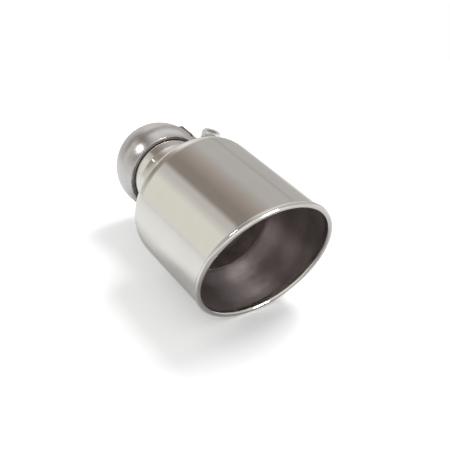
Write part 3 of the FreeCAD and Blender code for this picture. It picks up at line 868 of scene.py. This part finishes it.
def make_world():
    """A studio seen in the metal: rings of walls and ceiling round the part, white tent in front.

    Each ring holds the colours round the Y axis for rays that run about as far forward or back,
    from the tent (straight forward) to the rear (straight back). The camera sees plain white, and
    dull surfaces get a soft, even light.
    """
    world = bpy.data.worlds.new("studio")
    bpy.context.scene.world = world
    world.use_nodes = True
    net = Net(world.node_tree)
    grey = (0.53, 0.505, 0.49)
    dark = (0.29, 0.25, 0.225)
    cream = (0.82, 0.80, 0.735)
    lilac = (0.60, 0.565, 0.55)
    white = (1.0, 1.0, 0.99)
    shown_to_camera = (1.0, 1.0, 1.0)
    soft_light = (0.70, 0.70, 0.70)
    axes = net.add("SeparateXYZ", {"Vector": net.add("TexCoord").outputs["Generated"]})
    back = axes.outputs["Y"]
    turn = net.math("ARCTAN2", axes.outputs["Z"], axes.outputs["X"])
    turned = net.spread(turn, -math.pi, math.pi)

    def ring(*stops):
        """Colours round Y from (degrees, tint, level), the level being the tint's green."""
        return net.ramp(turned, [
            ((degrees + 180) / 360, tuple(part * level / tint[1] for part in tint))
            for degrees, tint, level in stops])

    tent = ring(
        (-180, white, 1.02), (-90, white, 1.02), (0, white, 0.90), (37, white, 0.86),
        (82, white, 0.84), (112, white, 0.90), (142, white, 0.98), (160, white, 1.02),
        (180, white, 1.02))
    front = ring(
        (-180, white, 0.90), (-128, white, 0.88), (-30, white, 0.98), (-8, white, 0.70),
        (7, white, 0.61), (30, grey, 0.53), (52, grey, 0.54), (82, grey, 0.64), (97, grey, 0.56),
        (127, grey, 0.64), (142, white, 0.73), (172, white, 0.86), (180, white, 0.90))
    nearer = ring(
        (-180, white, 0.86), (-158, white, 0.80), (-128, white, 0.72), (-40, white, 1.0),
        (-8, white, 0.88), (7, grey, 0.69), (22, grey, 0.59), (37, grey, 0.48), (60, grey, 0.50),
        (82, grey, 0.64), (97, grey, 0.55), (112, grey, 0.50), (127, grey, 0.52),
        (142, grey, 0.58), (172, white, 0.74), (180, white, 0.86))
    lower = ring(
        (-180, white, 0.80), (-158, white, 0.79), (-128, white, 0.62), (-40, white, 0.90),
        (-8, white, 0.80), (7, grey, 0.54), (37, grey, 0.49), (60, grey, 0.50), (82, grey, 0.67),
        (97, grey, 0.53), (112, grey, 0.36), (142, grey, 0.36), (157, grey, 0.50),
        (172, cream, 0.75), (180, white, 0.80))
    across = ring(
        (-180, white, 0.84), (-173, white, 0.86), (-143, white, 0.68), (-120, grey, 0.60),
        (-30, grey, 0.60), (7, grey, 0.51), (37, grey, 0.52), (67, grey, 0.72), (82, white, 0.94),
        (97, grey, 0.66), (112, dark, 0.30), (130, dark, 0.25), (145, dark, 0.29),
        (157, grey, 0.40), (172, cream, 0.69), (180, cream, 0.84))
    beyond = ring(
        (-180, cream, 0.84), (-158, cream, 0.82), (-120, cream, 0.70), (-30, grey, 0.50),
        (7, grey, 0.55), (24, white, 0.92), (46, white, 1.05), (67, white, 1.0), (82, white, 1.02),
        (92, white, 0.90), (104, dark, 0.32), (112, dark, 0.24), (128, dark, 0.26),
        (142, grey, 0.40), (156, grey, 0.52), (170, cream, 0.60), (180, cream, 0.80))
    beside = ring(
        (-178, cream, 0.80), (-130, cream, 0.80), (-60, grey, 0.505), (-45, grey, 0.48),
        (16, grey, 0.49), (21, grey, 0.43), (27, grey, 0.505), (58, grey, 0.505),
        (84, dark, 0.335), (100, dark, 0.25), (115, dark, 0.255), (123, lilac, 0.565),
        (132, lilac, 0.60), (146, cream, 0.80), (178, cream, 0.80))
    behind = ring(
        (-178, cream, 0.62), (-158, cream, 0.74), (-100, cream, 0.70), (-60, grey, 0.60),
        (0, grey, 0.74), (37, grey, 0.82), (52, white, 0.92), (67, white, 0.95), (82, grey, 0.78),
        (94, dark, 0.44), (106, dark, 0.31), (142, dark, 0.29), (158, dark, 0.36),
        (170, lilac, 0.52), (180, cream, 0.62))
    rear = ring(
        (-180, cream, 0.66), (-60, grey, 0.74), (40, grey, 0.74), (100, grey, 0.58),
        (180, cream, 0.66))
    seen = tent
    for start, end, colours in (
            (-0.85, -0.60, front), (-0.45, -0.25, nearer), (-0.20, 0.0, lower), (0.05, 0.25, across),
            (0.30, 0.48, beyond), (0.62, 0.67, beside), (0.805, 0.825, behind), (0.92, 0.96, rear)):
        seen = net.mix(net.spread(back, start, end), seen, colours)
    rays = net.add("LightPath")
    shown = net.mix(rays.outputs["Is Glossy Ray"], soft_light, seen)
    shown = net.mix(rays.outputs["Is Camera Ray"], shown, shown_to_camera)
    background = net.add("Background", {"Color": shown, "Strength": 1.0})
    net.add("OutputWorld", {"Surface": background})


def make_floor():
    """White table top that keeps the part's shadow and is lifted to white for the camera.

    The metal sees it with a painted shade at the far right, a painted shadow in front of the lip and a
    painted glow near the right.
    """
    bpy.ops.mesh.primitive_circle_add(
        vertices=128, radius=FLOOR_RADIUS, fill_type="NGON", location=(*FLOOR_CENTRE, FLOOR_Z))
    floor = bpy.context.object
    floor.name = "table"
    material, net = new_material("table_white")
    table = (0.9, 0.9, 0.9)
    in_metal = (0.80, 0.80, 0.79)
    in_metal_painted_far_shade = (0.40, 0.39, 0.38)
    in_metal_painted_lip_shadow = (0.44, 0.42, 0.41)
    camera_lift = 0.26
    painted_glow_in_metal = 0.2
    place = net.add("SeparateXYZ", {"Vector": net.add("NewGeometry").outputs["Position"]}).outputs
    # painted shade at the far right, painted shadow in front of the lip and a painted glow near the
    # right, only in what the metal mirrors
    far_right_shade_mask = net.spread(net.math("ADD", place["X"], place["Y"]), 0.06, 0.5)
    near_right_glow_mask = net.math("SUBTRACT", net.spread(place["X"], 0.02, 0.10), far_right_shade_mask)
    lip_shadow_mask = net.spread(place["Y"], -0.13, -0.17)
    rays = net.add("LightPath").outputs
    mirrored = net.mix(far_right_shade_mask, in_metal, in_metal_painted_far_shade)
    mirrored = net.mix(lip_shadow_mask, mirrored, in_metal_painted_lip_shadow)
    colour = net.mix(rays["Is Glossy Ray"], table, mirrored)
    lift = net.spread(near_right_glow_mask, 0.0, 1.0, out_high=painted_glow_in_metal)
    lift = net.math("MULTIPLY", rays["Is Glossy Ray"], lift)
    lift = net.math("MULTIPLY_ADD", rays["Is Camera Ray"], camera_lift, lift)
    both = net.add("AddShader")
    net.feed(both.inputs[0], net.add("BsdfDiffuse", {"Color": colour}))
    net.feed(both.inputs[1], net.add("Emission", {"Color": (1.0, 1.0, 1.0), "Strength": lift}))
    net.add("OutputMaterial", {"Surface": both})
    floor.data.materials.append(material)


def make_camera():
    """The photograph's camera."""
    data = bpy.data.cameras.new("camera")
    data.lens = LENS_MM
    data.sensor_width = SENSOR_MM
    data.clip_start = NEAREST_SEEN
    camera = bpy.data.objects.new("camera", data)
    bpy.context.scene.collection.objects.link(camera)
    back = Vector((
        math.sin(VIEW_AZIMUTH) * math.cos(VIEW_ELEVATION),
        -math.cos(VIEW_AZIMUTH) * math.cos(VIEW_ELEVATION),
        math.sin(VIEW_ELEVATION),
    ))
    camera.location = AIM + VIEW_DISTANCE * back
    level = (-back).to_track_quat("-Z", "Y")
    camera.rotation_mode = "QUATERNION"
    camera.rotation_quaternion = level @ Quaternion((0, 0, 1), VIEW_ROLL)
    bpy.context.scene.camera = camera


def lamp(name, place, aim, size, watts, mirrored=True):
    """Lamp of a width and a height at a place: mirrored, it only leaves glints in the metal."""
    data = bpy.data.lights.new(name, "AREA")
    data.shape = "RECTANGLE"
    data.size, data.size_y = size
    data.energy = watts
    item = bpy.data.objects.new(name, data)
    bpy.context.scene.collection.objects.link(item)
    item.location = place
    item.rotation_mode = "QUATERNION"
    item.rotation_quaternion = (Vector(aim) - Vector(place)).to_track_quat("-Z", "Y")
    item.visible_glossy = mirrored
    item.visible_diffuse = not mirrored
    item.visible_camera = False


def make_lamps():
    """A broad key from the right, and three lamps that only the metal mirrors.

    They leave the glints on the ball, on the neck and on the lip, and the funnel's bright patch.
    """
    middle = Vector((0, -0.08, 0))
    distance = 1.2
    key = middle + distance * Vector((0.56, 0.06, 1.0)).normalized()
    over_ball = middle + distance * Vector((-0.6, 0.42, 0.68)).normalized()
    near_neck = (-0.065, 0.078, 0.077)
    glint_on_neck = (-0.012, -0.018, 0.026)
    in_front = (0.2, -1.0, 0.34)
    funnel = (0, -0.11, 0)
    lamp("key", key, middle, size=(0.55, 0.55), watts=10.0, mirrored=False)
    lamp("ball_light", over_ball, middle, size=(0.22, 0.22), watts=1.5)
    lamp("neck_light", near_neck, glint_on_neck, size=(0.006, 0.006), watts=0.00017)
    lamp("funnel_light", in_front, funnel, size=(0.34, 0.36), watts=7.5)


def make_clamp(satin, bare, sheared, scorched):
    """Split ball with its dull inside, and the two lugs with their sheared edges and weld beads."""
    shell = finish_piece(ball_shell(), "clamp", "satin_steel", satin, bare, stands_for="clamp_shell")
    middle_of_sheet = BALL - CLAMP_SHEET * 0.6
    paint(shell, 1, lambda out, back, face: (
        math.hypot(out, back) < middle_of_sheet and face.normal.dot(face.center) < 0))
    flat_enough = 0.6
    for node, side in (("upper_lug", 1), ("lower_lug", -1)):
        away, _, ear = leg_axes(side)
        plate = copy_rounded(node, node + "_plate", LUG_ROUND)
        finish_piece(plate, "clamp", "satin_steel", satin, sheared, stands_for=node, angle=25)
        paint(plate, 1, lambda out, back, face: (
            abs(face.normal.dot(away)) < flat_enough and abs(face.normal.dot(ear)) < flat_enough))
        finish_piece(lug_weld(node + "_weld", side), "clamp", "satin_steel", scorched, angle=60)


def bolt_shank(seat, place):
    """Threaded shank from the head to its chamfered end, and the height of that end."""
    radius = BOLT_RADIUS - THREAD_PLAY
    tip = seat + NUT_HEIGHT - NUT_COVER
    above_head = 0.01
    rings = 410

    def within_chamfer(up, out):
        """Radius that the chamfer of the end leaves."""
        return min(out, radius - max(up - (tip - BOLT_CHAMFER), 0.0))

    rows = threaded(radius, -seat + above_head, tip, within_chamfer, rings)
    head_end = [(0, 0, rows[0][0][2])] * THREAD_STEPS
    tip_end = [(0, 0, tip)] * THREAD_STEPS
    shank = skin("bolt_shank", [head_end] + rows + [tip_end], wrap_rows=False, place=place)
    return shank, tip


def washer(name, low, place):
    """Flat washer, its punched upper edge rounded most."""
    outline = rounded([
        (WASHER_HOLE, low, 0.15),
        (WASHER_RADIUS, low, 0.1),
        (WASHER_RADIUS, low + WASHER_SHEET, 0.4),
        (WASHER_HOLE, low + WASHER_SHEET, 0.15),
    ])
    return skin(name, [upright(outline, angle) for angle in full_turn(WASHER_STEPS)], place=place)


def make_fasteners(plated, oily_and_shade):
    """Bolt with its head below, nut and washers, on the axis through the lugs' ears."""
    turned = Matrix.Rotation(SPLIT_ANGLE, 4, "Y")
    place = turned @ Matrix.Translation(Vector((BOLT_OUT, LUG_BACK, 0)) * MM)
    seat = LUG_TOP + WASHER_SHEET
    rod, tip = bolt_shank(seat, place)
    finish_piece(rod, "clamp", "plated_steel", plated, oily_and_shade, angle=50)
    oily_below_chamfer = 0.5
    bolt_end = (tip - BOLT_CHAMFER - oily_below_chamfer) * MM
    up = place.to_3x3() @ Vector((0, 0, 1))
    paint(rod, 1, lambda out, back, face: face.center.dot(up) - place.translation.dot(up) > bolt_end)
    head = skin("bolt_head", hexagon(0.0, -seat - HEAD_HEIGHT, -seat, True, False), place=place)
    finish_piece(head, "clamp", "plated_steel", plated, stands_for="clamp_bolt", angle=20)
    nut = skin("nut_body", hexagon(BOLT_RADIUS, seat, seat + NUT_HEIGHT, True, True), place=place)
    finish_piece(nut, "clamp", "plated_steel", plated, stands_for="clamp_nut", angle=20)
    inset = 0.3
    rings = 72
    thread = threaded(BOLT_RADIUS, seat + inset, seat + NUT_HEIGHT - inset, lambda up, out: out, rings)
    inside = skin("nut_thread", thread, wrap_rows=False, place=place)
    finish_piece(inside, "clamp", "plated_steel", oily_and_shade, angle=50)
    for name, low in (("upper_washer", LUG_TOP), ("lower_washer", -seat)):
        ring = washer(name + "_ring", low, place)
        finish_piece(ring, "clamp", "plated_steel", plated, stands_for=name)


def in_groove(out, back, face):
    """Whether a face of the body lies in the groove between side and lip, which gets a painted shade."""
    place = roll_frame(math.atan2(face.center.z, face.center.x))
    meeting = on_roll(place, ROLL, math.degrees(-math.acos((BODY - ROLL_PATH) / ROLL)))
    near_side = 0.5
    reach = 0.42
    return out > BODY - near_side and abs(back - meeting.y) < reach


def make_tip(polished, dull, bare, painted_shade, weld):
    """Body, funnel, neck tube and sleeve, with painted shade in the groove and in the hollow at the
    neck's foot.
    """
    shell = skin("body_skin", [body_row(angle) for angle in full_turn(BODY_STEPS)])
    finish_piece(shell, "tip", "polished_steel", polished, painted_shade, stands_for="outer_body", angle=40)
    # the groove between side and lip gets a painted shade
    paint(shell, 1, in_groove)
    funnel = skin("funnel_skin", [liner_row(angle) for angle in full_turn(TUBE_STEPS)])
    finish_piece(funnel, "tip", "liner_steel", dull, stands_for="inner_liner")
    tube = skin("neck_skin", [around(neck_outline(), angle) for angle in full_turn(TUBE_STEPS)])
    finish_piece(tube, "tip", "polished_steel", polished, bare, painted_shade, stands_for="neck_tube")
    paint(tube, 1, lambda out, back, face: (
        face.normal.x * face.center.x + face.normal.z * face.center.z < 0 or back < BODY_REAR))
    # the hollow where the neck meets its ball end, inside the rim, gets a painted shade
    margin = 0.1
    paint(tube, 2, lambda out, back, face: back > NECK_FOOT - margin and out > NECK - margin)
    sleeve = skin("sleeve_skin", [around(sleeve_outline(), angle) for angle in full_turn(TUBE_STEPS)])
    finish_piece(sleeve, "tip", "polished_steel", polished, stands_for="neck_sleeve")
    finish_piece(weld_bead(), "tip", "polished_steel", weld, angle=60)


bpy.context.scene.view_settings.view_transform = "Standard"
make_camera()
make_world()
make_floor()
make_lamps()

satin = satin_steel()
bare = bare_steel("bare_steel", BARE_TINTS)
# oily steel for the threads, also used as the painted shade in the groove and at the neck's foot
oily_and_shade = bare_steel("oily_steel_and_shade", OILY_AND_SHADE_TINTS)
tinted = weld_metal("weld_metal", WELD_TINTS)
scorched = weld_metal("scorched_weld", SCORCHED_TINTS)
make_clamp(satin, bare, sheared_steel(), scorched)
make_fasteners(plated_steel(), oily_and_shade)
make_tip(polished_steel(), liner_steel(), bare, oily_and_shade, tinted)
